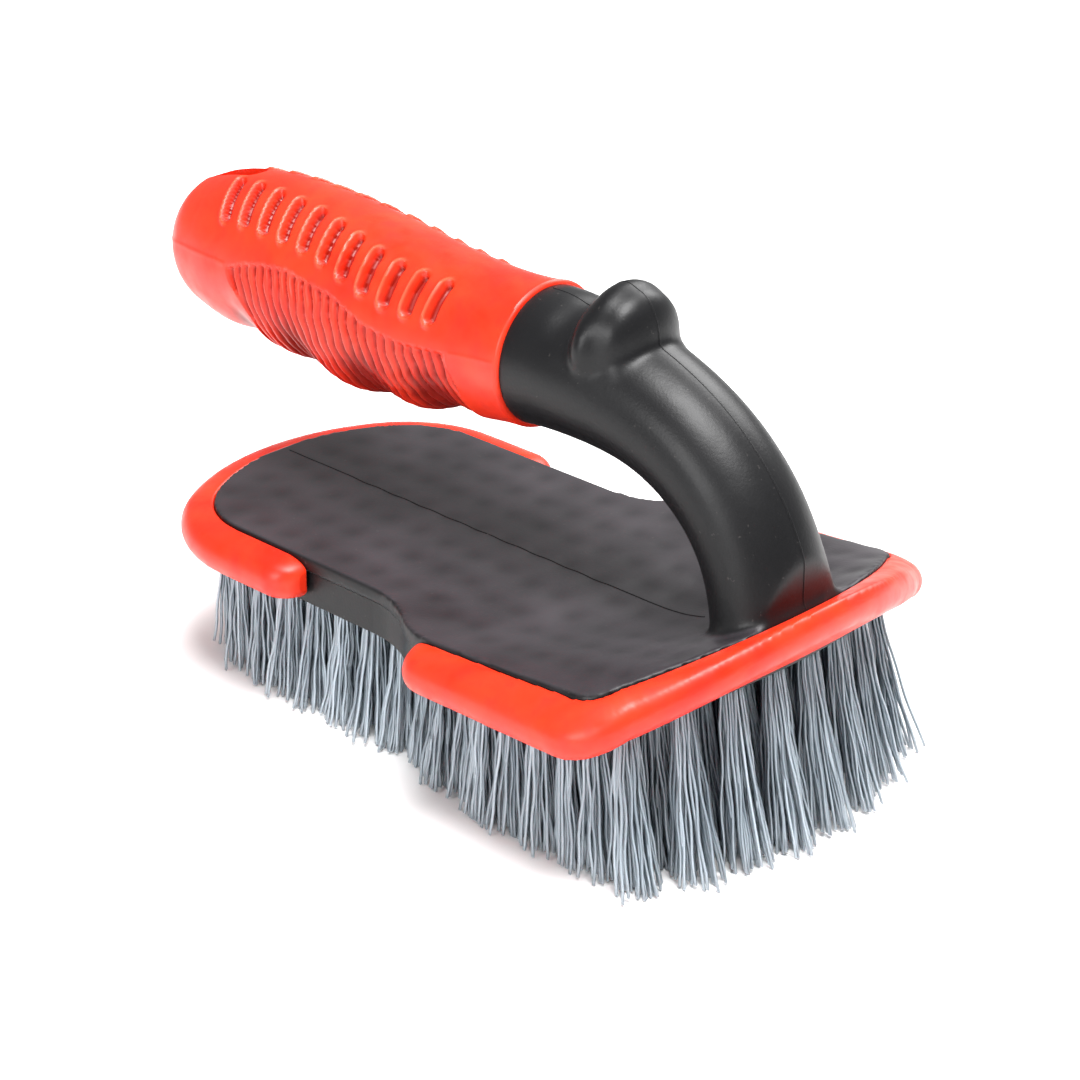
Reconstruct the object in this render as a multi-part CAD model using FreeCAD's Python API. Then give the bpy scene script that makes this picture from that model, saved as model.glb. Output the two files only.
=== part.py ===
import FreeCAD, Part
import math
import os

# Wheel brush with a waisted block, a swept handle, two rubber bumpers and stapled bristle tufts.
# Modelled with the flat deck at z = 0 and the block's axis along X, the nose towards +X.
# The last step moves the origin to the middle of the lowest plane, where the bristles end.

V = FreeCAD.Vector
os.makedirs("parts", exist_ok=True)

# ---------------------------------------------------------------- driving dimensions, mm
tip_z = -40.0             # plane of the bristle ends
deck_t = 4.0              # top layer of the block, moulded with the handle
block_t = 8.0             # lower layer that holds the tufts

nose_x = 12.5             # deck edge at the middle of the nose
nose_bow = 17.0           # how far the nose edge falls back at the corners
nose_lift = 14.0          # height of the nose edge at its middle
corner_lift = 5.0         # height of the nose edge at its corners
lift_length = 40.0        # length over which the deck curls up to the nose, at its middle
side_lift_length = 75.0   # the same along the sides
lift_power = 1.6

rear_x = -155.0           # deck edge at the middle of the rear
cap_x = -127.0            # where the round rear end meets the straight side
cap_r = 24.0              # corner radius of the rear end
rear_half = 38.0          # half width of the narrow rear part
front_half = 49.5         # half width of the wide front part
side_half = 48.5          # half width where the flare ends
flare_start = -82.0
flare_end = -50.0
corner_x = -8.0           # where the side edge meets the corner round

front_bumper_end = -57.0
rear_bumper_end = -103.0
front_bumper_w = 7.5
rear_bumper_w = 8.0
bumper_top = -0.6         # bumper top, measured from the deck surface
bumper_t = 10.6
bumper_gap = 0.02

tuft_pitch_x = 9.5
tuft_pitch_y = 11.4       # nearest pitch across the block
tuft_rows = 17
first_row_x = 8.3
bow_rows = 8              # rows over which the nose bow fades out
tuft_root_r = 2.5
tuft_tip_r = 4.4
hole_clearance = 0.03
hole_depth = 6.5
spread_x = 1.08           # tips stand this much further out than roots
spread_y = 1.07

anchor_w = 3.4
anchor_t = 0.4
anchor_h = 1.8

# Handle centreline: x, z, half height in the side view, half width
stem = [
    (5.0, 1.0, 13.0, 16.6),
    (3.4, 10.0, 12.2, 15.4),
    (0.8, 18.5, 11.9, 14.4),
    (-3.6, 27.4, 12.0, 13.9),
    (-11.0, 36.0, 12.4, 13.8),
    (-22.2, 43.4, 13.0, 14.0),
    (-35.0, 47.8, 14.0, 14.5),
    (-49.0, 50.0, 15.2, 15.3),
    (-65.0, 49.8, 15.9, 15.8),
]
tang = [
    (-64.0, 49.8, 13.0, 12.8),
    (-78.0, 48.4, 12.8, 12.4),
    (-97.0, 47.2, 12.4, 12.0),
    (-117.0, 47.6, 12.2, 11.8),
    (-138.0, 49.4, 11.6, 11.2),
    (-155.0, 50.2, 8.5, 8.5),
]
sleeve = [
    (-63.0, 50.0, 16.9, 16.8),
    (-69.0, 49.4, 16.8, 16.7),
    (-80.0, 48.2, 17.6, 17.2),
    (-97.0, 47.0, 19.9, 18.3),
    (-117.0, 47.6, 21.6, 19.4),
    (-138.0, 49.4, 21.2, 19.2),
    (-154.0, 50.3, 20.0, 18.2),
    (-167.0, 50.2, 17.6, 16.4),
    (-176.5, 49.6, 13.8, 13.2),
    (-182.0, 49.2, 8.6, 8.6),
    (-184.2, 49.0, 3.2, 3.4),
]
scallop_x = (-152.0, -128.0, -102.0)     # finger hollows under the grip
scallop_r = 34.0
scallop_depth = 2.2

slot_x = (-173.0, -161.0) # hanging slot, centre to centre of its round ends
slot_r = 3.4

knob_x, knob_z = -39.0, 61.0
knob_rx, knob_ry, knob_rz = 8.5, 13.0, 12.5


# ---------------------------------------------------------------- surfaces and outlines
def nose_edge(y):
    return nose_x - nose_bow * (y / front_half) ** 2


def deck_height(x, y):
    """Height of the deck surface: flat, with a nose that curls up."""
    behind = nose_edge(y) - x
    length = lift_length + (side_lift_length - lift_length) * min(y / front_half, 1.0) ** 2
    share = min(max(1.0 - behind / length, 0.0), 1.35)
    edge = corner_lift + (nose_lift - corner_lift) * (1.0 - (y / front_half) ** 2)
    return max(edge, -2.0) * share ** lift_power


def layer(top, thickness):
    """A sheet of even thickness that follows the deck, its top at the given offset."""
    xs = [-190.0 + 8.0 * i for i in range(28)]
    ys = [-66.0 + 6.0 * i for i in range(23)]
    grid = [[V(x, y, deck_height(x, y) + top) for y in ys] for x in xs]
    surface = Part.BSplineSurface()
    surface.interpolate(grid)
    return surface.toShape().extrude(V(0, 0, -thickness))


def block_outline():
    """Closed outline of the deck: round rear end, straight waist, flare, wide sides, bowed nose."""
    reach = cap_x - rear_x
    rise = rear_half - cap_r
    end_r = (reach ** 2 + rise ** 2 - cap_r ** 2) / (2.0 * (reach - cap_r))
    end_c = V(rear_x + end_r, 0, 0)
    mid = V(0.5 * (flare_start + flare_end), 0.5 * (rear_half + side_half), 0)
    run, step = flare_end - flare_start, side_half - rear_half
    flare_r = (run ** 2 + step ** 2) / (4.0 * step)
    corner_y = front_half - 6.0
    edges = []
    for side in (1, -1):
        def place(x, y):
            return V(x, side * y, 0)

        def on_round(centre, radius, towards):
            return centre + (towards - centre).normalize() * radius

        cap_c = V(cap_x, rise, 0)
        touch = end_c + (cap_c - end_c).normalize() * end_r
        cap_mid = on_round(cap_c, cap_r, V(0.5 * (touch.x + cap_x), 0.5 * (touch.y + rear_half), 0))
        edges.append(Part.Arc(place(touch.x, touch.y), place(cap_mid.x, cap_mid.y), place(cap_x, rear_half)).toShape())
        edges.append(Part.LineSegment(place(cap_x, rear_half), place(flare_start, rear_half)).toShape())
        low_c = V(flare_start, rear_half + flare_r, 0)
        low = on_round(low_c, flare_r, V(0.5 * (flare_start + mid.x), 0.5 * (rear_half + mid.y), 0))
        high_c = V(flare_end, side_half - flare_r, 0)
        high = on_round(high_c, flare_r, V(0.5 * (flare_end + mid.x), 0.5 * (side_half + mid.y), 0))
        edges.append(Part.Arc(place(flare_start, rear_half), place(low.x, low.y), place(mid.x, mid.y)).toShape())
        edges.append(Part.Arc(place(mid.x, mid.y), place(high.x, high.y), place(flare_end, side_half)).toShape())
        edges.append(Part.LineSegment(place(flare_end, side_half), place(corner_x, front_half)).toShape())
        edges.append(Part.Arc(place(corner_x, front_half), place(corner_x + 4.4, front_half - 1.4),
                              place(nose_edge(corner_y), corner_y)).toShape())
    edges.append(Part.Arc(V(touch.x, touch.y, 0), V(rear_x, 0, 0), V(touch.x, -touch.y, 0)).toShape())
    edges.append(Part.Arc(V(nose_edge(corner_y), corner_y, 0), V(nose_x, 0, 0),
                          V(nose_edge(corner_y), -corner_y, 0)).toShape())
    return Part.Wire(Part.__sortEdges__(edges))


def prism(wire, low, high):
    return Part.Face(wire).extrude(V(0, 0, high - low)).translated(V(0, 0, low))


def tube(stations):
    """Smooth solid through elliptical rings square to the centreline."""
    wires = []
    for i, (x, z, half_height, half_width) in enumerate(stations):
        ahead = stations[min(i + 1, len(stations) - 1)]
        behind = stations[max(i - 1, 0)]
        slope = math.degrees(math.atan2(ahead[1] - behind[1], -(ahead[0] - behind[0])))
        wires.append((x, z, half_height, half_width, slope))
    rings = []
    steps = 32
    for x, z, half_height, half_width, slope in wires:
        lean = math.radians(slope)
        up = V(math.sin(lean), 0, math.cos(lean))
        points = []
        for k in range(steps):
            a = 2.0 * math.pi * k / steps
            points.append(V(x, 0, z) + up * (half_height * math.cos(a)) + V(0, half_width * math.sin(a), 0))
        curve = Part.BSplineCurve()
        curve.interpolate(Points=points, PeriodicFlag=True)
        rings.append(Part.Wire([curve.toShape()]))
    return Part.makeLoft(rings, True, False)


# ---------------------------------------------------------------- black mouldings
outline = block_outline()
deck = layer(0.0, deck_t).common(prism(outline, -30.0, 40.0))
below_deck = layer(-deck_t, 60.0)

column = tube(stem).cut(below_deck).common(prism(outline.makeOffset2D(-1.2), -40.0, 120.0))
core = tube(tang)
knob = Part.makeSphere(1.0)
stretch = FreeCAD.Matrix()
stretch.scale(knob_rx, knob_ry, knob_rz)
knob = knob.transformGeometry(stretch).translated(V(knob_x, 0, knob_z))
handle_body = deck.fuse([column, core, knob]).removeSplitter()

block = layer(-deck_t, block_t).common(prism(outline.makeOffset2D(-0.8), -40.0, 40.0))

# ---------------------------------------------------------------- rubber grip and bumpers
grip = tube(sleeve)
for x in scallop_x:
    low = min(sleeve, key=lambda s: abs(s[0] - x))
    bottom = low[1] - low[2]
    hollow = Part.makeCylinder(scallop_r, 60.0, V(x, -30.0, bottom - scallop_r + scallop_depth), V(0, 1, 0))
    grip = grip.cut(hollow)
slot_length = slot_x[1] - slot_x[0]
slot = Part.makeBox(slot_length, 2.0 * slot_r, 90.0, V(slot_x[0], -slot_r, 0.0))
for x in slot_x:
    slot = slot.fuse(Part.makeCylinder(slot_r, 90.0, V(x, 0, 0)))
grip = grip.cut(handle_body).cut(slot)


def bumper(width, x_low, x_high):
    """Rubber band round the block's edge between two stations."""
    outer = prism(outline.makeOffset2D(width), -40.0, 40.0)
    inner = prism(outline.makeOffset2D(bumper_gap), -50.0, 50.0)
    box = Part.makeBox(x_high - x_low, 200.0, 120.0, V(x_low, -100.0, -60.0))
    return layer(bumper_top, bumper_t).common(outer.cut(inner)).common(box)


front_bumper = bumper(front_bumper_w, front_bumper_end, 40.0)
rear_bumper = bumper(rear_bumper_w, -190.0, rear_bumper_end)


# ---------------------------------------------------------------- tufts
def half_at(x):
    """Half width of the outermost tuft roots at a station."""
    if x > -46.0:
        return 39.5
    if x > -66.0:
        return 36.0
    if x > -130.0:
        return 32.0
    return 32.0 * math.sqrt(max(1.0 - ((-128.0 - x) / 27.0) ** 2, 0.1))


def row_places(row):
    """Root positions of one row; the front rows follow the nose."""
    x_mid = first_row_x - tuft_pitch_x * row
    half = half_at(x_mid)
    count = int(round(2.0 * half / tuft_pitch_y)) + 1
    curve = nose_bow / front_half ** 2 * max(0.0, 1.0 - row / bow_rows)
    places = []
    for k in range(count):
        y = -half + 2.0 * half * k / (count - 1)
        places.append((x_mid - curve * y * y, y))
    return places


def circle(x, y, z, radius):
    return Part.Wire([Part.Circle(V(x, y, z), V(0, 0, 1), radius).toShape()])


block_middle = 0.5 * (rear_x + nose_x)
rows = []
anchors = []
holes = []
for row in range(tuft_rows):
    tufts = []
    for x, y in row_places(row):
        mouth = deck_height(x, y) - deck_t - block_t
        top = mouth + hole_depth
        x_tip = block_middle + (x - block_middle) * spread_x
        y_tip = y * spread_y
        root = Part.makeCylinder(tuft_root_r, hole_depth - anchor_h - 0.6, V(x, y, mouth))
        fan = Part.makeLoft([circle(x, y, mouth, tuft_root_r), circle(x_tip, y_tip, tip_z, tuft_tip_r)],
                            True, True)
        tufts.append(root.fuse(fan).removeSplitter())
        anchors.append(Part.makeBox(anchor_t, anchor_w, anchor_h,
                                    V(x - 0.5 * anchor_t, y - 0.5 * anchor_w, top - anchor_h - 0.2)))
        holes.append(Part.makeCylinder(tuft_root_r + hole_clearance, hole_depth + 6.0, V(x, y, mouth - 6.0)))
    rows.append(tufts)
tuft_block = block.cut(Part.makeCompound(holes))

# ---------------------------------------------------------------- origin and export
nodes = {
    "handle_body": handle_body,
    "tuft_block": tuft_block,
    "grip_sleeve": grip,
    "front_bumper": front_bumper,
    "rear_bumper": rear_bumper,
    "tuft_anchors": Part.makeCompound(anchors),
}
for row, tufts in enumerate(rows, 1):
    nodes["tuft_row_%02d" % row] = Part.makeCompound(tufts)

whole = FreeCAD.BoundBox()
for shape in nodes.values():
    whole.add(shape.optimalBoundingBox(False, False))
shift = V(-0.5 * (whole.XMin + whole.XMax), 0, -tip_z)
for name, shape in nodes.items():
    moved = shape.translated(shift)
    moved.exportStep("parts/%s.step" % name)
    print(name, len(moved.Solids), moved.isValid(), round(moved.Volume / 1000.0, 2), "cm3")
print("origin shift", shift, "size", whole.XLength, whole.YLength, whole.ZLength)
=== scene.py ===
import bpy
import math
import numpy as np
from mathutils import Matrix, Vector
from mathutils.bvhtree import BVHTree


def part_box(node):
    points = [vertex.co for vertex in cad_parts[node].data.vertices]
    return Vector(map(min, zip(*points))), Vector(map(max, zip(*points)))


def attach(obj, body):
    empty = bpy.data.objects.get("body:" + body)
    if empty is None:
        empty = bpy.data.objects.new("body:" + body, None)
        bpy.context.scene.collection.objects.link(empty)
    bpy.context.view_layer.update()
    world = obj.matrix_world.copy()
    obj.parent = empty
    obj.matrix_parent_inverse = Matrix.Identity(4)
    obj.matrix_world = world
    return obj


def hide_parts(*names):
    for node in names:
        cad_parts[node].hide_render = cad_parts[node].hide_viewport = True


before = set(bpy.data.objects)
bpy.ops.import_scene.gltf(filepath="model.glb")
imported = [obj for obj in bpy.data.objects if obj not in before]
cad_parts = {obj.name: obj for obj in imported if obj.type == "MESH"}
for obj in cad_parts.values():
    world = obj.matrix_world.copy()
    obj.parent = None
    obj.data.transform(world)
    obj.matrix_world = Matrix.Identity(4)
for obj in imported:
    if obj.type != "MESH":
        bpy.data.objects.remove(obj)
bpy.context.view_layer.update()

# Sizes are in millimetres in the deck's own frame: deck surface at z 0, nose towards +X
mm = 0.001
rearBumperEnd = -163.0
rearBumperTop = -0.6
rearLow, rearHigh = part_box("rear_bumper")
deckOrigin = Vector((rearLow.x - rearBumperEnd * mm, 0, rearHigh.z - rearBumperTop * mm))
shift = np.array(deckOrigin)
rng = np.random.default_rng(11)


def pick(piece):
    bpy.ops.object.select_all(action="DESELECT")
    piece.select_set(True)
    bpy.context.view_layer.objects.active = piece


def applyModifier(piece, kind, **settings):
    pick(piece)
    modifier = piece.modifiers.new(kind.title(), kind)
    for key, value in settings.items():
        setattr(modifier, key, value)
    bpy.ops.object.modifier_apply(modifier=modifier.name)


def copyNode(node, name):
    # A separate piece with the CAD node's shape, its loose triangles merged
    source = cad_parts[node]
    piece = bpy.data.objects.new(name, source.data.copy())
    bpy.context.scene.collection.objects.link(piece)
    pick(piece)
    bpy.ops.object.mode_set(mode="EDIT")
    bpy.ops.mesh.select_all(action="SELECT")
    bpy.ops.mesh.remove_doubles(threshold=0.002 * mm)
    bpy.ops.object.mode_set(mode="OBJECT")
    return piece


def readPoints(piece):
    points = np.empty(len(piece.data.vertices) * 3)
    piece.data.vertices.foreach_get("co", points)
    return (points.reshape(-1, 3) - shift) / mm


def writePoints(piece, points):
    piece.data.vertices.foreach_set("co", (points * mm + shift).ravel())
    piece.data.update()


def readNormals(piece):
    normals = np.empty(len(piece.data.vertices) * 3)
    piece.data.vertex_normals.foreach_get("vector", normals)
    return normals.reshape(-1, 3)


def smoothStep(low, high, value):
    t = np.clip((value - low) / (high - low), 0, 1)
    return t * t * (3 - 2 * t)


def bump(value, width):
    return np.exp(-(value / width) ** 2)


def finishPiece(piece, material, slot, *nodes):
    piece.data.materials.clear()
    piece.data.materials.append(material)
    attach(piece, "root")
    if nodes:
        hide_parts(*nodes)


def smoothShade(piece, angle=40):
    pick(piece)
    bpy.ops.object.shade_smooth_by_angle(angle=math.radians(angle))


def toLinear(code):
    parts = [int(code[i:i + 2], 16) / 255 for i in (1, 3, 5)]
    return tuple([c / 12.92 if c <= 0.04045 else ((c + 0.055) / 1.055) ** 2.4 for c in parts] + [1.0])


def addNode(tree, kind, settings, links):
    # A key that is a number or a socket's name sets that socket, and any other key sets the node
    node = tree.nodes.new(kind)
    for key, value in settings.items():
        if isinstance(key, int) or key in node.inputs:
            node.inputs[key].default_value = value
        else:
            setattr(node, key, value)
    for key, source in links.items():
        tree.links.new(source, node.inputs[key])
    return node


def newMaterial(name):
    material = bpy.data.materials.new(name)
    material.use_nodes = True
    tree = material.node_tree
    tree.nodes.clear()
    where = addNode(tree, "ShaderNodeTexCoord", {}, {}).outputs["Object"]
    return material, tree, where


def makeBlackPlastic():
    # Black polypropylene moulded against a spark-eroded die: deep grey with a fine, softly shining grain
    look = {"dark": "#08080a", "pale": "#101012", "dust": "#5a5654", "deckSheen": "#383438",
            "roughLow": 0.36, "roughHigh": 0.46, "deckSheenRough": 0.04, "grain": 0.5,
            "cloudSize": 22 * mm, "speckSize": 1.1 * mm, "grainSize": 0.7 * mm, "waveSize": 7 * mm}
    material, tree, where = newMaterial("sparkErodedPolypropylene")
    clouds = addNode(tree, "ShaderNodeTexNoise", {"Scale": 1 / look["cloudSize"], "Detail": 4.0},
                     {"Vector": where})
    beforeSheen = addNode(tree, "ShaderNodeMix",
                    {"data_type": "RGBA", 6: toLinear(look["dark"]), 7: toLinear(look["pale"])},
                    {0: clouds.outputs["Fac"]})
    # The flat deck's upward faces are painted paler, a painted sheen standing in for the grazing reflection of
    # the bright room, and are a little rougher
    deckSheen = addNode(tree, "ShaderNodeAttribute", {"attribute_name": "deckSheen"}, {})
    patches = addNode(tree, "ShaderNodeMapRange",
                      {"From Min": 0.25, "From Max": 0.75, "To Min": 0.45, "To Max": 1.1},
                      {"Value": clouds.outputs["Fac"]})
    deckSheenMask = addNode(tree, "ShaderNodeMath", {"operation": "MULTIPLY"},
                       {0: deckSheen.outputs["Fac"], 1: patches.outputs[0]})
    # Painted sheen: the deck's paler colour, mixed over the base colour in patches
    base = addNode(tree, "ShaderNodeMix", {"data_type": "RGBA", 7: toLinear(look["deckSheen"])},
                   {0: deckSheenMask.outputs[0], 6: beforeSheen.outputs[2]})
    specks = addNode(tree, "ShaderNodeTexNoise", {"Scale": 1 / look["speckSize"], "Detail": 2.0},
                     {"Vector": where})
    speckMask = addNode(tree, "ShaderNodeMapRange",
                        {"From Min": 0.70, "From Max": 0.78, "To Min": 0.0, "To Max": 0.3},
                        {"Value": specks.outputs["Fac"]})
    colour = addNode(tree, "ShaderNodeMix", {"data_type": "RGBA", 7: toLinear(look["dust"])},
                     {0: speckMask.outputs[0], 6: base.outputs[2]})
    shine = addNode(tree, "ShaderNodeMapRange",
                    {"From Min": 0.3, "From Max": 0.7,
                     "To Min": look["roughLow"], "To Max": look["roughHigh"]},
                    {"Value": clouds.outputs["Fac"]})
    rough = addNode(tree, "ShaderNodeMath", {"operation": "MULTIPLY_ADD", 1: look["deckSheenRough"]},
                    {0: deckSheen.outputs["Fac"], 2: shine.outputs[0]})
    # The real grain is about 0.1 mm, drawn at 0.7 mm so that it shows
    fine = addNode(tree, "ShaderNodeTexNoise", {"Scale": 1 / look["grainSize"], "Detail": 3.0},
                   {"Vector": where})
    waves = addNode(tree, "ShaderNodeTexNoise", {"Scale": 1 / look["waveSize"], "Detail": 1.0},
                    {"Vector": where})
    soft = addNode(tree, "ShaderNodeBump", {"Strength": 0.25, "Distance": 0.25 * mm},
                   {"Height": waves.outputs["Fac"]})
    relief = addNode(tree, "ShaderNodeBump", {"Strength": look["grain"], "Distance": 0.06 * mm},
                     {"Height": fine.outputs["Fac"], "Normal": soft.outputs["Normal"]})
    shader = addNode(tree, "ShaderNodeBsdfPrincipled", {"IOR": 1.49, "Specular IOR Level": 0.32},
                     {"Base Color": colour.outputs[2], "Roughness": rough.outputs[0],
                      "Normal": relief.outputs["Normal"]})
    addNode(tree, "ShaderNodeOutputMaterial", {}, {"Surface": shader.outputs[0]})
    return material


def makeOrangeRubber():
    # Thermoplastic rubber, injected over the moulding: vivid orange-red, satin, with paler rubbed streaks
    look = {"body": "#dc2005", "pale": "#e23413", "deep": "#c61702", "grooveShade": "#6f0600",
            "rimHighlight": "#f0603f", "roughLow": 0.32, "roughHigh": 0.5,
            "cloudSize": 16 * mm, "stainSize": 5 * mm, "grainSize": 0.8 * mm}
    material, tree, where = newMaterial("overmouldedRubber")
    clouds = addNode(tree, "ShaderNodeTexNoise",
                     {"Scale": 1 / look["cloudSize"], "Detail": 5.0, "Distortion": 0.6},
                     {"Vector": where})
    tone = addNode(tree, "ShaderNodeMapRange",
                   {"From Min": 0.35, "From Max": 0.7, "To Min": 0.0, "To Max": 1.0},
                   {"Value": clouds.outputs["Fac"]})
    base = addNode(tree, "ShaderNodeMix",
                   {"data_type": "RGBA", 6: toLinear(look["body"]), 7: toLinear(look["pale"])},
                   {0: tone.outputs[0]})
    stains = addNode(tree, "ShaderNodeTexNoise", {"Scale": 1 / look["stainSize"], "Detail": 3.0},
                     {"Vector": where})
    stainMask = addNode(tree, "ShaderNodeMapRange",
                        {"From Min": 0.55, "From Max": 0.75, "To Min": 0.0, "To Max": 0.5},
                        {"Value": stains.outputs["Fac"]})
    stained = addNode(tree, "ShaderNodeMix", {"data_type": "RGBA", 7: toLinear(look["deep"])},
                      {0: stainMask.outputs[0], 6: base.outputs[2]})
    # Grooves are painted darker as painted shade, and raised edges paler as a painted highlight, by the height
    # of the relief in millimetres
    relieved = addNode(tree, "ShaderNodeAttribute", {"attribute_name": "relief"}, {})
    # Painted shade in the slots, rib valleys and finger hollows
    grooveShadeMask = addNode(tree, "ShaderNodeMapRange",
                         {"From Min": -0.5, "From Max": -1.7, "To Min": 0.0, "To Max": 0.85},
                         {"Value": relieved.outputs["Fac"]})
    grooveShaded = addNode(tree, "ShaderNodeMix", {"data_type": "RGBA", 7: toLinear(look["grooveShade"])},
                    {0: grooveShadeMask.outputs[0], 6: stained.outputs[2]})
    # Painted highlight on the raised rims
    rimHighlightMask = addNode(tree, "ShaderNodeMapRange",
                      {"From Min": 0.1, "From Max": 0.5, "To Min": 0.0, "To Max": 0.5},
                      {"Value": relieved.outputs["Fac"]})
    colour = addNode(tree, "ShaderNodeMix", {"data_type": "RGBA", 7: toLinear(look["rimHighlight"])},
                     {0: rimHighlightMask.outputs[0], 6: grooveShaded.outputs[2]})
    rough = addNode(tree, "ShaderNodeMapRange",
                    {"From Min": 0.3, "From Max": 0.7,
                     "To Min": look["roughLow"], "To Max": look["roughHigh"]},
                    {"Value": stains.outputs["Fac"]})
    # Die grain of about 0.2 mm, drawn at 0.8 mm so that it shows
    fine = addNode(tree, "ShaderNodeTexNoise", {"Scale": 1 / look["grainSize"], "Detail": 2.0},
                   {"Vector": where})
    relief = addNode(tree, "ShaderNodeBump", {"Strength": 0.12, "Distance": 0.06 * mm},
                     {"Height": fine.outputs["Fac"]})
    shader = addNode(tree, "ShaderNodeBsdfPrincipled",
                     {"IOR": 1.5, "Specular IOR Level": 0.42, "Subsurface Weight": 0.06,
                      "Subsurface Radius": (1.5 * mm, 0.4 * mm, 0.2 * mm), "Subsurface Scale": 1.0},
                     {"Base Color": colour.outputs[2], "Roughness": rough.outputs[0],
                      "Normal": relief.outputs["Normal"]})
    addNode(tree, "ShaderNodeOutputMaterial", {}, {"Surface": shader.outputs[0]})
    return material


def makeBristle():
    # Extruded and crimped polypropylene filament: blue-grey, slightly waxy, each one a little different
    look = {"dark": "#727e88", "pale": "#b4c0c9", "tip": "#c4cdd4", "tipHeight": 12 * mm,
            "roughLow": 0.28, "roughHigh": 0.42, "grainSize": 1.5 * mm}
    material, tree, where = newMaterial("crimpedFilament")
    tone = addNode(tree, "ShaderNodeAttribute", {"attribute_name": "tone"}, {})
    base = addNode(tree, "ShaderNodeMix",
                   {"data_type": "RGBA", 6: toLinear(look["dark"]), 7: toLinear(look["pale"])},
                   {0: tone.outputs["Fac"]})
    along = addNode(tree, "ShaderNodeSeparateXYZ", {}, {0: where})
    tipMask = addNode(tree, "ShaderNodeMapRange",
                      {"From Min": look["tipHeight"], "From Max": 0.0, "To Min": 0.0, "To Max": 0.45},
                      {"Value": along.outputs["Z"]})
    colour = addNode(tree, "ShaderNodeMix", {"data_type": "RGBA", 7: toLinear(look["tip"])},
                     {0: tipMask.outputs[0], 6: base.outputs[2]})
    grain = addNode(tree, "ShaderNodeTexNoise", {"Scale": 1 / look["grainSize"], "Detail": 1.0},
                    {"Vector": where})
    rough = addNode(tree, "ShaderNodeMapRange",
                    {"From Min": 0.3, "From Max": 0.7,
                     "To Min": look["roughLow"], "To Max": look["roughHigh"]},
                    {"Value": grain.outputs["Fac"]})
    shader = addNode(tree, "ShaderNodeBsdfPrincipled", {"IOR": 1.49, "Specular IOR Level": 0.5},
                     {"Base Color": colour.outputs[2], "Roughness": rough.outputs[0]})
    addNode(tree, "ShaderNodeOutputMaterial", {}, {"Surface": shader.outputs[0]})
    return material


def makeAnchorWire():
    # Drawn and flattened steel wire: grey metal, duller in fine spots where the die marked it
    look = {"metal": "#b9b9b6", "roughLow": 0.25, "roughHigh": 0.5, "markSize": 0.4 * mm}
    material, tree, where = newMaterial("drawnSteelWire")
    marks = addNode(tree, "ShaderNodeTexNoise", {"Scale": 1 / look["markSize"], "Detail": 2.0},
                    {"Vector": where})
    rough = addNode(tree, "ShaderNodeMapRange", {"To Min": look["roughLow"], "To Max": look["roughHigh"]},
                    {"Value": marks.outputs["Fac"]})
    shader = addNode(tree, "ShaderNodeBsdfPrincipled", {"Base Color": toLinear(look["metal"]), "Metallic": 1.0},
                     {"Roughness": rough.outputs[0]})
    addNode(tree, "ShaderNodeOutputMaterial", {}, {"Surface": shader.outputs[0]})
    return material


blackPlastic = makeBlackPlastic()
orangeRubber = makeOrangeRubber()
bristlePlastic = makeBristle()
anchorSteel = makeAnchorWire()
print("materials made")

# Tufts: their roots stand in the block's holes, row by row from the nose
tufts = {
    "rows": 17, "pitch": 9.5, "firstX": 8.3, "bowRows": 8, "sidePitch": 11.4, "mouthDepth": 12.0,
    # Behind each x, the outermost tuft's y, and then the round of the rear end
    "halves": [(-46, 39.5), (-66, 36.0), (-130, 32.0)], "roundX": -128.0, "roundLength": 27.0,
    # How far the tips spread out, over the roots
    "middleX": -71.25, "spreadX": 1.1, "rearSpread": 0.97, "spreadY": 1.08, "spreadFrom": (-150, -105),
    "tipZ": -40.0, "rootRadius": 2.3, "tipRadius": 5.6, "rootInside": 3.0,
    "filaments": 46, "filamentRadius": 0.42, "segments": 12, "waves": 2.3, "crimp": 0.3,
    "goldenAngle": 2.39996, "fullness": (0.85, 1.12), "stray": 0.9, "ragged": 0.5, "dome": 0.35,
    "straightLean": 0.72, "calmRoot": 0.25, "tone": 0.55, "toneSpread": 0.25,
}
deck = {"noseX": 12.5, "bow": 17.0, "frontHalf": 49.5, "noseLift": 14.0, "cornerLift": 5.0,
        "liftLength": 40.0, "sideLiftLength": 75.0, "liftPower": 1.6, "lowestEdge": -2.0,
        "mostShare": 1.35}


def deckHeight(x, y):
    # The deck rises towards its bowed nose, most in the middle
    aside = y / deck["frontHalf"]
    behind = deck["noseX"] - deck["bow"] * aside ** 2 - x
    longer = deck["sideLiftLength"] - deck["liftLength"]
    length = deck["liftLength"] + longer * np.minimum(aside, 1.0) ** 2
    share = np.clip(1.0 - behind / length, 0.0, deck["mostShare"])
    edge = deck["cornerLift"] + (deck["noseLift"] - deck["cornerLift"]) * (1 - aside ** 2)
    return np.maximum(edge, deck["lowestEdge"]) * share ** deck["liftPower"]


def halfAt(x):
    for behind, half in tufts["halves"]:
        if x > behind:
            return half
    past = (tufts["roundX"] - x) / tufts["roundLength"]
    return half * math.sqrt(max(1 - past ** 2, 0.1))


def rowPlaces(row):
    x = tufts["firstX"] - tufts["pitch"] * row
    half = halfAt(x)
    count = int(round(2 * half / tufts["sidePitch"])) + 1
    curve = deck["bow"] / deck["frontHalf"] ** 2 * max(0.0, 1 - row / tufts["bowRows"])
    across = [-half + 2 * half * k / (count - 1) for k in range(count)]
    return [(x - curve * y * y, y) for y in across]


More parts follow.
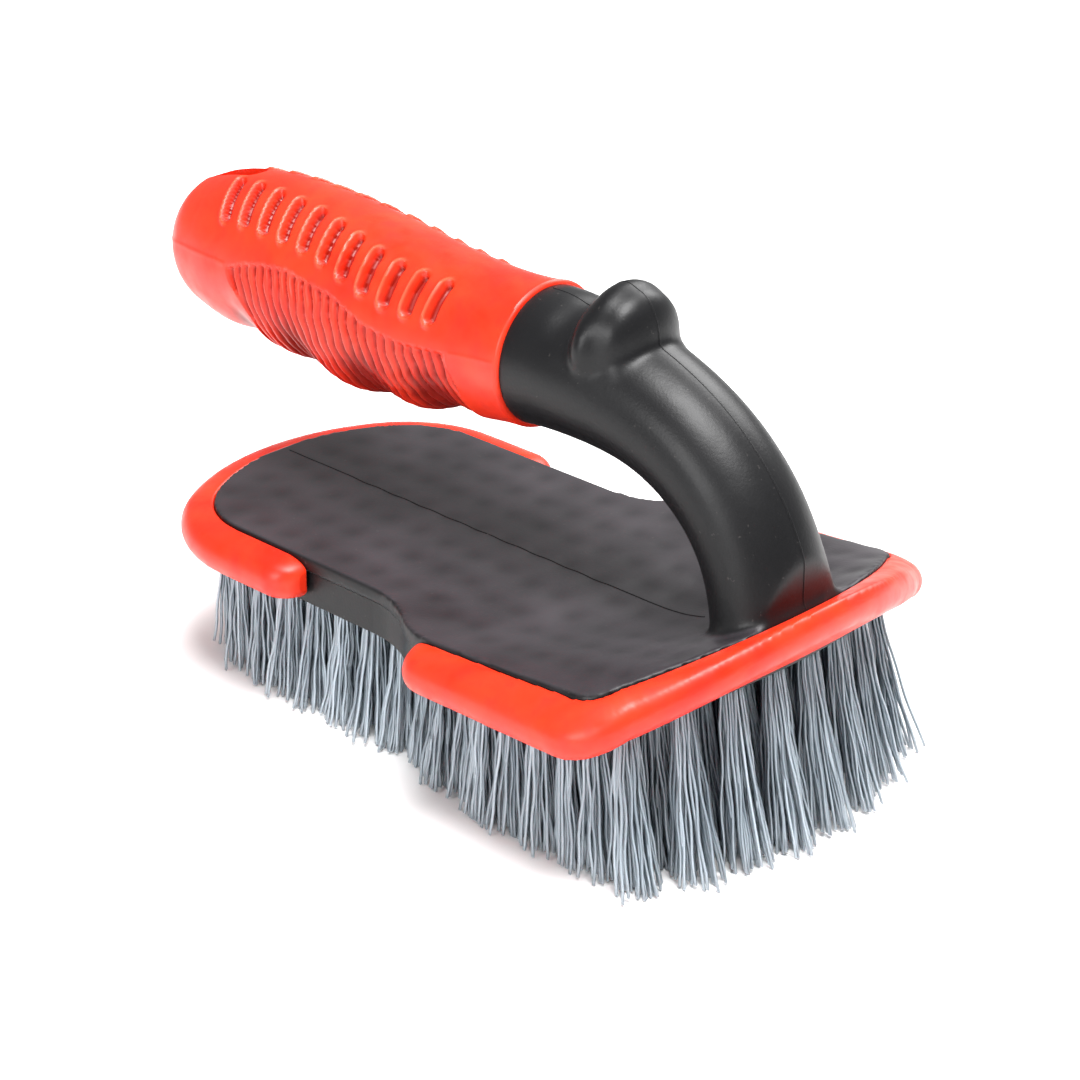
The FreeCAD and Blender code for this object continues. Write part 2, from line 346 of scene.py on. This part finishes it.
def modelFilament():
    # One straight filament of unit length and radius with three sides, extruded step by step
    length = 1.0 / tufts["segments"]
    bpy.ops.object.select_all(action="DESELECT")
    bpy.ops.mesh.primitive_circle_add(vertices=3, radius=1.0, fill_type="NGON")
    filament = bpy.context.object
    bpy.ops.object.mode_set(mode="EDIT")
    bpy.ops.mesh.select_all(action="SELECT")
    for step in range(tufts["segments"]):
        bpy.ops.mesh.extrude_region_move(TRANSFORM_OT_translate={"value": (0, 0, length)})
    bpy.ops.mesh.select_all(action="SELECT")
    bpy.ops.mesh.normals_make_consistent(inside=False)
    bpy.ops.object.mode_set(mode="OBJECT")
    points = np.array([v.co for v in filament.data.vertices])
    faces = [list(face.vertices) for face in filament.data.polygons]
    bpy.data.objects.remove(filament)
    return points, faces


def makeTuftRow(row, points, faces):
    verts = []
    tones = []
    for x, y in rowPlaces(row):
        mouth = float(deckHeight(x, y)) - tufts["mouthDepth"]
        toFront = float(smoothStep(*tufts["spreadFrom"], x))
        spreadX = tufts["spreadX"] if x > tufts["middleX"] else tufts["rearSpread"]
        tipX = tufts["middleX"] + (x - tufts["middleX"]) * spreadX
        tipY = y * (1 + (tufts["spreadY"] - 1) * toFront)
        turn = rng.uniform(0, 2 * math.pi)
        for k in range(tufts["filaments"]):
            angle = turn + k * tufts["goldenAngle"]
            share = math.sqrt((k + 0.5) / tufts["filaments"])
            rootR = tufts["rootRadius"] * share
            tipR = tufts["tipRadius"] * share * rng.uniform(*tufts["fullness"])
            root = np.array([x + rootR * math.cos(angle), y + rootR * math.sin(angle),
                             mouth + tufts["rootInside"]])
            tip = np.array([tipX + tipR * math.cos(angle) + rng.normal(0, tufts["stray"]),
                            tipY + tipR * math.sin(angle) + rng.normal(0, tufts["stray"]),
                            tufts["tipZ"] + abs(rng.normal(0, tufts["ragged"])) + tufts["dome"] * share])
            s = points[:, 2]
            lean = s * (tufts["straightLean"] + (1 - tufts["straightLean"]) * s)
            line = root + (tip - root) * np.stack([lean, lean, s], axis=1)
            heading = rng.uniform(0, 2 * math.pi)
            phase = rng.uniform(0, 2 * math.pi)
            wave = tufts["crimp"] * np.sin(2 * math.pi * tufts["waves"] * s + phase)
            wave *= smoothStep(0.0, tufts["calmRoot"], s)
            line[:, 0] += wave * math.cos(heading) + points[:, 0] * tufts["filamentRadius"]
            line[:, 1] += wave * math.sin(heading) + points[:, 1] * tufts["filamentRadius"]
            verts.append(line)
            tone = np.clip(rng.normal(tufts["tone"], tufts["toneSpread"]), 0, 1)
            tones.append(np.full(len(points), tone))
    count = len(points)
    allFaces = [[i + n * count for i in face] for n in range(len(verts)) for face in faces]
    mesh = bpy.data.meshes.new("tuftRow%02d" % (row + 1))
    mesh.from_pydata((np.concatenate(verts) * mm + shift).tolist(), [], allFaces)
    mesh.attributes.new("tone", "FLOAT", "POINT").data.foreach_set("value", np.concatenate(tones))
    mesh.polygons.foreach_set("use_smooth", [True] * len(mesh.polygons))
    piece = bpy.data.objects.new(mesh.name, mesh)
    bpy.context.scene.collection.objects.link(piece)
    # The filament was modelled upwards and hangs down, so its faces are turned out again
    pick(piece)
    bpy.ops.object.mode_set(mode="EDIT")
    bpy.ops.mesh.select_all(action="SELECT")
    bpy.ops.mesh.flip_normals()
    bpy.ops.object.mode_set(mode="OBJECT")
    finishPiece(piece, bristlePlastic, "bristle", "tuft_row_%02d" % (row + 1))


filamentPoints, filamentFaces = modelFilament()
for row in range(tufts["rows"]):
    makeTuftRow(row, filamentPoints, filamentFaces)
print("tufts made")

# Handle moulding: deck, stem and thumb rest in one piece
handle = {
    "voxel": 0.8, "smoothing": 3, "blending": 15,
    # x and z of the middle, and half the length, width and height
    "humps": [(-41.5, 59.6, 6.4, 14.8, 11.8), (-34.4, 54.4, 5.8, 12.2, 8.4)],
    "neckX": -50.5, "neckDepth": 0.7, "neckWidth": 3.5,
    "foldX": -37.0, "foldDepth": 0.8, "foldWidth": 2.2, "foldHeights": (56, 64),
    "sinkDepth": 0.26, "sinkRadius": 3.4, "level": 0.85, "nearDeck": 1.5,
    # How the deck's painted sheen fades off the deck, by face angle, and in the sink marks
    "sinkSheenCut": 0.4, "deckSheenNear": (3.5, 1.0), "deckSheenLevel": (0.6, 0.9),
    "thumbX": -39, "thumbReach": 16, "thumbHeights": (50, 60),
    "footTop": 4, "footReach": 5, "footHalf": 24, "footBack": -22,
}


def makeHandle():
    piece = copyNode("handle_body", "handleMoulding")
    humps = []
    for x, z, rx, ry, rz in handle["humps"]:
        bpy.ops.object.select_all(action="DESELECT")
        bpy.ops.mesh.primitive_uv_sphere_add(segments=48, ring_count=24, radius=mm,
                                             location=Vector((x, 0, z)) * mm + deckOrigin)
        hump = bpy.context.object
        hump.scale = (rx, ry, rz)
        bpy.ops.object.transform_apply(location=True, rotation=True, scale=True)
        humps.append(hump)
    bpy.ops.object.select_all(action="DESELECT")
    for hump in humps:
        hump.select_set(True)
    piece.select_set(True)
    bpy.context.view_layer.objects.active = piece
    bpy.ops.object.join()
    applyModifier(piece, "REMESH", mode="VOXEL", voxel_size=handle["voxel"] * mm)
    applyModifier(piece, "SMOOTH", factor=0.5, iterations=handle["smoothing"])
    points = readPoints(piece)
    normals = readNormals(piece)
    x, y, z = points.T
    # Neck behind the thumb rest and a fold across its front, both fading down the sides
    high = smoothStep(*handle["foldHeights"], z)
    move = -handle["neckDepth"] * bump(x - handle["neckX"], handle["neckWidth"]) * high
    move -= handle["foldDepth"] * bump(x - handle["foldX"], handle["foldWidth"]) * high
    points = points + normals * move[:, None]
    # Sink marks in the deck over the tuft holes
    x, y, z = points.T
    top = (normals[:, 2] > handle["level"]) & (np.abs(z - deckHeight(x, y)) < handle["nearDeck"])
    sink = np.zeros(len(points))
    for row in range(tufts["rows"]):
        for tx, ty in rowPlaces(row):
            sink[top] += bump(np.hypot(x[top] - tx, y[top] - ty), handle["sinkRadius"])
    points[:, 2] -= handle["sinkDepth"] * sink
    writePoints(piece, points)
    # The painted sheen lies on the upward-facing deck only, weaker in the sink marks
    deckSheen = smoothStep(*handle["deckSheenNear"], np.abs(z - deckHeight(x, y)))
    deckSheen *= smoothStep(*handle["deckSheenLevel"], normals[:, 2])
    deckSheen *= 1 - handle["sinkSheenCut"] * np.minimum(sink, 1)
    piece.data.attributes.new("deckSheen", "FLOAT", "POINT").data.foreach_set("value", deckSheen)
    # Blend the thumb rest and the foot into the stem
    blend = piece.vertex_groups.new(name="blend")
    thumb = bump(x - handle["thumbX"], handle["thumbReach"]) * smoothStep(*handle["thumbHeights"], z)
    foot = bump(z - handle["footTop"] - deckHeight(x, y), handle["footReach"])
    foot *= (np.abs(y) < handle["footHalf"]) * (x > handle["footBack"])
    near = np.clip(thumb + foot, 0, 1)
    for index in np.nonzero(near > 0.05)[0]:
        blend.add([int(index)], float(near[index]), "REPLACE")
    applyModifier(piece, "SMOOTH", factor=0.5, iterations=handle["blending"], vertex_group="blend")
    piece.vertex_groups.clear()
    pick(piece)
    bpy.ops.object.shade_smooth()
    finishPiece(piece, blackPlastic, "black_plastic", "handle_body")
    return piece


handlePiece = makeHandle()
print("handle made", len(handlePiece.data.polygons))

# Mould seam along the centre plane, a fine raised line left by the die
seam = {
    # Radius of each seam's bead, and how deep it lies in the surface
    "stemSeam": 0.22, "deckSeam": 0.24, "sunk": 0.08,
    # x and z along the middle of the stem
    "line": [(-62.0, 50.0), (-49.0, 50.0), (-35.0, 47.8), (-22.2, 43.4), (-11.0, 36.0), (-3.6, 27.4),
             (0.8, 18.5), (3.4, 10.0)],
    "steps": 120, "turning": 15, "reach": 45,
    "deckFrom": -152, "deckTo": -16, "deckSteps": 110, "above": 12,
}


def makeSeam():
    tree = BVHTree.FromObject(handlePiece, bpy.context.evaluated_depsgraph_get())
    line = np.array(seam["line"])
    gaps = np.r_[0, np.cumsum(np.hypot(*np.diff(line, axis=0).T))]
    spots = np.linspace(0, gaps[-1], seam["steps"])
    xs, zs = np.interp(spots, gaps, line[:, 0]), np.interp(spots, gaps, line[:, 1])
    # The rays turn gradually from one run of the line to the next
    window = np.hanning(seam["turning"])
    kernel = window / window.sum()
    slopeX = np.convolve(np.gradient(xs), kernel, "same")
    slopeZ = np.convolve(np.gradient(zs), kernel, "same")
    routes = []
    route = []
    for x, z, dx, dz in zip(xs, zs, slopeX, slopeZ):
        out = Vector((-dz, 0, dx)).normalized()
        hit = tree.ray_cast((Vector((x, 0, z)) + out * seam["reach"]) * mm + deckOrigin, -out)[0]
        if hit:
            route.append(hit)
    routes.append(route)
    route = []
    for x in np.linspace(seam["deckFrom"], seam["deckTo"], seam["deckSteps"]):
        hit = tree.ray_cast(Vector((x, 0, seam["above"])) * mm + deckOrigin, Vector((0, 0, -1)))[0]
        if hit:
            route.append(hit)
    routes.append(route)
    for name, route in zip(("stemSeam", "deckSeam"), routes):
        curve = bpy.data.curves.new(name, "CURVE")
        curve.dimensions = "3D"
        curve.bevel_depth = seam[name] * mm
        curve.bevel_resolution = 1
        curve.use_fill_caps = True
        spline = curve.splines.new("POLY")
        spline.points.add(len(route) - 1)
        for point, place in zip(spline.points, route):
            point.co = (*(place - Vector((0, 0, seam["sunk"] * mm))), 1)
        piece = bpy.data.objects.new(name, curve)
        bpy.context.scene.collection.objects.link(piece)
        pick(piece)
        bpy.ops.object.convert(target="MESH")
        bpy.ops.object.shade_smooth()
        finishPiece(bpy.context.object, blackPlastic, "black_plastic")


makeSeam()
print("mould seams made")

# Rubber bumpers, rounded all over
bumpers = {
    "front_bumper": {"name": "frontBumper", "width": 7.5, "endX": -57.0},
    "rear_bumper": {"name": "rearBumper", "width": 8.0, "endX": -103.0},
    "voxel": 0.5, "smoothing": 6, "top": rearBumperTop, "height": 10.6, "round": 0.43,
    # Depth under the deck where the block's edge is felt for, and how near counts as on it
    "feel": 2.0, "inside": 0.05,
    # Length of the rounded end, and the shares of width and height left at its tip
    "endRound": 7.0, "endLeast": 0.04, "endWidth": 0.2, "endHeight": 0.42,
}


def makeBumper(node, blockTree):
    # The square band is pressed into a D-shaped one: each point keeps its side of the band and moves
    # inwards from the corners, and the band's ends close in a round
    facts = bumpers[node]
    piece = copyNode(node, facts["name"])
    applyModifier(piece, "REMESH", mode="VOXEL", voxel_size=bumpers["voxel"] * mm)
    points = readPoints(piece)
    half = 0.5 * bumpers["height"]
    middle = deckHeight(points[:, 0], points[:, 1]) + bumpers["top"] - half
    up = np.clip((points[:, 2] - middle) / half, -1, 1)
    for index, point in enumerate(points):
        level = float(deckHeight(point[0], point[1])) - bumpers["feel"]
        near = blockTree.find_nearest(Vector((point[0], point[1], level)) * mm + deckOrigin)[0]
        edge = (np.array(near) - shift) / mm
        out = point[:2] - edge[:2]
        away = np.hypot(*out)
        if away < bumpers["inside"]:
            out = np.zeros(2)
        share = min(away / facts["width"], 1.0)
        toEnd = abs(point[0] - facts["endX"]) / bumpers["endRound"]
        close = math.sqrt(max(1 - (1 - min(toEnd, 1.0)) ** 2, bumpers["endLeast"]))
        keep = math.sqrt(1 - bumpers["round"] * up[index] ** 2)
        keep *= bumpers["endWidth"] + (1 - bumpers["endWidth"]) * close
        lift = math.sqrt(1 - bumpers["round"] * share ** 2)
        lift *= bumpers["endHeight"] + (1 - bumpers["endHeight"]) * close
        points[index, :2] = edge[:2] + out * keep
        points[index, 2] = middle[index] + half * up[index] * lift
    writePoints(piece, points)
    applyModifier(piece, "SMOOTH", factor=0.5, iterations=bumpers["smoothing"])
    pick(piece)
    bpy.ops.object.shade_smooth()
    finishPiece(piece, orangeRubber, "orange_rubber", node)
    print(facts["name"], len(piece.data.polygons))


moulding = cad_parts["handle_body"].data
mouldingTree = BVHTree.FromPolygons([v.co for v in moulding.vertices],
                                    [face.vertices for face in moulding.polygons])
for node in ("front_bumper", "rear_bumper"):
    makeBumper(node, mouldingTree)

# Grip: a rubber sleeve with slots, a ribbed pad, finger hollows, a lip and a hanging slot
grip = {
    # x, z of the middle, half height, half width
    "stations": [(-63.0, 50.0, 16.9, 16.8), (-69.0, 49.4, 16.8, 16.7), (-80.0, 48.2, 17.6, 17.2),
                 (-97.0, 47.0, 19.9, 18.3), (-117.0, 47.6, 21.6, 19.4), (-138.0, 49.4, 21.2, 19.2),
                 (-154.0, 50.3, 20.2, 18.2), (-167.0, 50.2, 18.2, 16.6), (-176.0, 49.8, 15.2, 13.8),
                 (-181.0, 49.4, 10.6, 9.6), (-183.0, 49.2, 4.6, 4.4), (-183.4, 49.2, 0.3, 0.3)],
    "rings": 330, "around": 224, "merge": 0.01 * mm,
    # Steps forward and inwards from the sleeve's front end
    "lip": [(-0.8, -3.6), (-0.2, -1.7), (0.0, -1.0), (-0.25, -0.35), (-0.9, 0.0)],
    "reliefEnds": (-63.2, -66.0),
    # Angles are in degrees from the top
    "slots": 11, "slotFirst": -157.0, "slotPitch": 7.2, "slotLength": 12.6, "slotHalf": 1.45,
    "slotDepth": 2.0, "slotWall": (0.2, -0.6), "slotAngle": 35, "slotTurn": 12, "slotTurnAt": (0.35, 0.85),
    "slotSlant": 0.34, "slotShorter": 0.15, "rim": 0.6, "rimAway": 0.75, "rimHalf": 0.5, "rimSide": 1.5,
    "padX": [-151, -145, -139, -130, -115, -104, -93, -79],
    "padAngle": [83, 76, 71, 67, 69, 79, 83, 83], "padSide": 83, "padStep": (-0.2, 0.5), "padDrop": 0.45,
    "padBackLean": 7, "padBackTo": 120, "padFrontLean": 3, "padFrontTo": 116,
    "ribPitch": 2.85, "ribDepth": 1.25, "ribFullness": 0.36, "ribSlant": 0.2, "ribSlantTo": 14,
    "ribWaver": 0.18, "ribRoughness": 0.12,
    "hollows": (-151.0, -130.0, -107.0, -86.0), "hollowDepth": 1.9, "hollowHalf": 6.5,
    "underside": (85, 140),
    "partingAngle": 82, "partingHeight": 0.16, "partingHalf": 0.4,
    "hangX": (-173.0, -161.0), "hangRadius": 3.4, "hangZ": 50, "hangLength": 90,
}


def curveThrough(stations, count):
    # Smooth line through the stations, evenly spaced along its length
    p = np.array(stations)
    t = np.r_[0, np.cumsum(np.sqrt(((np.diff(p[:, [0, 2]], axis=0)) ** 2).sum(axis=1)))]
    slope = np.gradient(p, t, axis=0)
    s = np.linspace(0, t[-1], count)
    k = np.clip(np.searchsorted(t, s, side="right") - 1, 0, len(t) - 2)
    h = (t[k + 1] - t[k])[:, None]
    u = ((s - t[k])[:, None]) / h
    return ((2 * u ** 3 - 3 * u ** 2 + 1) * p[k] + (u ** 3 - 2 * u ** 2 + u) * h * slope[k]
            + (-2 * u ** 3 + 3 * u ** 2) * p[k + 1] + (u ** 3 - u ** 2) * h * slope[k + 1])


def gripRelief(x, angle, radius):
    # Height over the plain sleeve in mm, at a place along it and an angle in degrees from the top
    height = np.zeros_like(x)
    # Slanted slots, each with a raised rim on its rear side
    for i in range(grip["slots"]):
        along = i / (grip["slots"] - 1)
        centre = grip["slotAngle"] + grip["slotTurn"] * float(smoothStep(*grip["slotTurnAt"], along))
        v = np.radians(angle - centre) * radius
        across = x - (grip["slotFirst"] + grip["slotPitch"] * i) - grip["slotSlant"] * (1 - along) * v
        half = 0.5 * grip["slotLength"] * (1 - grip["slotShorter"] * along) - grip["slotHalf"]
        away = np.hypot(across, np.maximum(np.abs(v) - half, 0)) - grip["slotHalf"]
        height -= grip["slotDepth"] * smoothStep(*grip["slotWall"], away)
        rim = bump(away - grip["rimAway"], grip["rimHalf"])
        height += grip["rim"] * rim * smoothStep(grip["rimSide"], -grip["rimSide"], across)
    # Ribbed pad, a step lower than the sleeve
    edge = np.interp(x, grip["padX"], grip["padAngle"])
    back = grip["padX"][0] + grip["padBackLean"] * smoothStep(grip["padSide"], grip["padBackTo"], angle)
    front = grip["padX"][-1] + grip["padFrontLean"] * smoothStep(grip["padSide"], grip["padFrontTo"], angle)
    inside = np.minimum(np.minimum(x - back, front - x), np.radians(angle - edge) * radius)
    pad = smoothStep(*grip["padStep"], inside)
    v = np.radians(angle - grip["padSide"]) * radius
    wobble = grip["ribWaver"] * np.sin(v * 0.9 + 1.7 * np.sin(x * 0.21))
    wobble += grip["ribRoughness"] * np.sin(v * 0.37 + x * 0.9)
    slanted = x - grip["ribSlant"] * np.minimum(v, grip["ribSlantTo"]) + wobble
    ridge = (0.5 + 0.5 * np.cos(2 * math.pi * slanted / grip["ribPitch"])) ** grip["ribFullness"]
    height -= pad * (grip["padDrop"] + grip["ribDepth"] * (1 - ridge))
    # Finger hollows underneath
    under = smoothStep(*grip["underside"], angle)
    for place in grip["hollows"]:
        height -= grip["hollowDepth"] * under * bump(x - place, grip["hollowHalf"])
    # Parting line of the die, where there is no pad
    parting = bump(np.radians(angle - grip["partingAngle"]) * radius, grip["partingHalf"])
    parting *= (x < grip["padX"][0] - 1) | (x > grip["padX"][-1] + 1)
    return height + grip["partingHeight"] * parting


def makeGrip():
    body = curveThrough(grip["stations"], grip["rings"])
    frontX, frontZ, frontHeight, frontWidth = body[0]
    lip = np.array([[frontX + dx, frontZ, frontHeight + dr, frontWidth + dr] for dx, dr in grip["lip"]])
    rings = np.concatenate([lip, body[3:]])
    # A grid with as many rings and sides as the relief needs, rolled up as each ring takes its section
    bpy.ops.object.select_all(action="DESELECT")
    bpy.ops.mesh.primitive_grid_add(x_subdivisions=len(rings) - 1, y_subdivisions=grip["around"], size=1)
    piece = bpy.context.object
    piece.name = "gripSleeve"
    plane = np.empty(len(piece.data.vertices) * 3)
    piece.data.vertices.foreach_get("co", plane)
    plane = plane.reshape(-1, 3)
    ring = np.rint((plane[:, 0] + 0.5) * (len(rings) - 1)).astype(int)
    turn = (plane[:, 1] + 0.5) * 2 * math.pi
    x, z, halfHeight, halfWidth = rings[ring].T
    angle = np.degrees(np.minimum(turn, 2 * math.pi - turn))
    fade = smoothStep(*grip["reliefEnds"], x)
    relief = gripRelief(x, angle, 0.5 * (halfHeight + halfWidth)) * fade
    points = np.stack([x, -(halfWidth + relief) * np.sin(turn),
                       z + (halfHeight + relief) * np.cos(turn)], axis=1)
    writePoints(piece, points)
    piece.data.attributes.new("relief", "FLOAT", "POINT").data.foreach_set("value", relief)
    pick(piece)
    bpy.ops.object.mode_set(mode="EDIT")
    bpy.ops.mesh.select_all(action="SELECT")
    bpy.ops.mesh.remove_doubles(threshold=grip["merge"])
    bpy.ops.mesh.select_all(action="DESELECT")
    bpy.ops.mesh.select_non_manifold()
    bpy.ops.mesh.edge_face_add()
    bpy.ops.mesh.select_all(action="SELECT")
    bpy.ops.mesh.normals_make_consistent(inside=False)
    bpy.ops.object.mode_set(mode="OBJECT")
    return piece


def cutHangingSlot(piece):
    # An oblong cutter, from a cylinder whose two halves are moved apart
    low, high = grip["hangX"]
    middleX = 0.5 * (low + high)
    half = 0.5 * (high - low)
    middle = Vector((middleX, 0, grip["hangZ"])) * mm + deckOrigin
    bpy.ops.object.select_all(action="DESELECT")
    bpy.ops.mesh.primitive_cylinder_add(vertices=48, radius=grip["hangRadius"] * mm,
                                        depth=grip["hangLength"] * mm, location=middle)
    cutter = bpy.context.object
    bpy.ops.object.transform_apply(location=True, rotation=True, scale=True)
    points = readPoints(cutter)
    points[:, 0] += np.where(points[:, 0] > middleX, half, -half)
    writePoints(cutter, points)
    applyModifier(piece, "BOOLEAN", operation="DIFFERENCE", object=cutter, solver="EXACT")
    bpy.data.objects.remove(cutter)


gripPiece = makeGrip()
cutHangingSlot(gripPiece)
smoothShade(gripPiece, 50)
finishPiece(gripPiece, orangeRubber, "orange_rubber", "grip_sleeve")
print("grip made", len(gripPiece.data.polygons))

# CAD nodes that keep their own shape
for node, material in (("tuft_block", blackPlastic), ("tuft_anchors", anchorSteel)):
    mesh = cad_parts[node].data
    mesh.materials.clear()
    mesh.materials.append(material)

# Floor, light and camera
studio = {
    "floor": "#f6f6f6", "floorRoughness": 0.7, "floorSize": 8.0, "world": 0.4, "aim": (0, 0, 0.05),
    # Name, place in metres, size and power
    "lights": [("keyLight", (0.3, -0.1, 1.2), 0.6, 28), ("sideLight", (0.1, -1.25, 0.55), 0.45, 9),
               ("backLight", (-0.1, 1.0, 0.9), 0.7, 16)],
    "cameraPlace": (373.93, -448.78, 299.71), "cameraTarget": (-66.0, 0.0, 3.9), "lens": 101.9,
}


def makeStudio():
    bpy.ops.object.select_all(action="DESELECT")
    bpy.ops.mesh.primitive_plane_add(size=studio["floorSize"])
    floor = bpy.context.object
    floor.name = "studioFloor"
    material = bpy.data.materials.new("paintedFloor")
    material.use_nodes = True
    shader = material.node_tree.nodes["Principled BSDF"]
    shader.inputs["Base Color"].default_value = toLinear(studio["floor"])
    shader.inputs["Roughness"].default_value = studio["floorRoughness"]
    floor.data.materials.append(material)
    world = bpy.data.worlds.new("studioWorld")
    world.use_nodes = True
    background = world.node_tree.nodes["Background"]
    background.inputs["Color"].default_value = (1, 1, 1, 1)
    background.inputs["Strength"].default_value = studio["world"]
    bpy.context.scene.world = world
    aim = Vector(studio["aim"])
    for name, place, size, power in studio["lights"]:
        data = bpy.data.lights.new(name, "AREA")
        data.size = size
        data.energy = power
        lamp = bpy.data.objects.new(name, data)
        lamp.location = place
        lamp.rotation_euler = (aim - lamp.location).to_track_quat("-Z", "Y").to_euler()
        bpy.context.scene.collection.objects.link(lamp)
    data = bpy.data.cameras.new("camera")
    data.lens = studio["lens"]
    data.sensor_width = 36
    camera = bpy.data.objects.new("camera", data)
    camera.location = Vector(studio["cameraPlace"]) * mm + deckOrigin
    target = Vector(studio["cameraTarget"]) * mm + deckOrigin
    camera.rotation_euler = (target - camera.location).to_track_quat("-Z", "Y").to_euler()
    bpy.context.scene.collection.objects.link(camera)
    bpy.context.scene.camera = camera
    bpy.context.scene.view_settings.view_transform = "Standard"


makeStudio()
print("studio made")
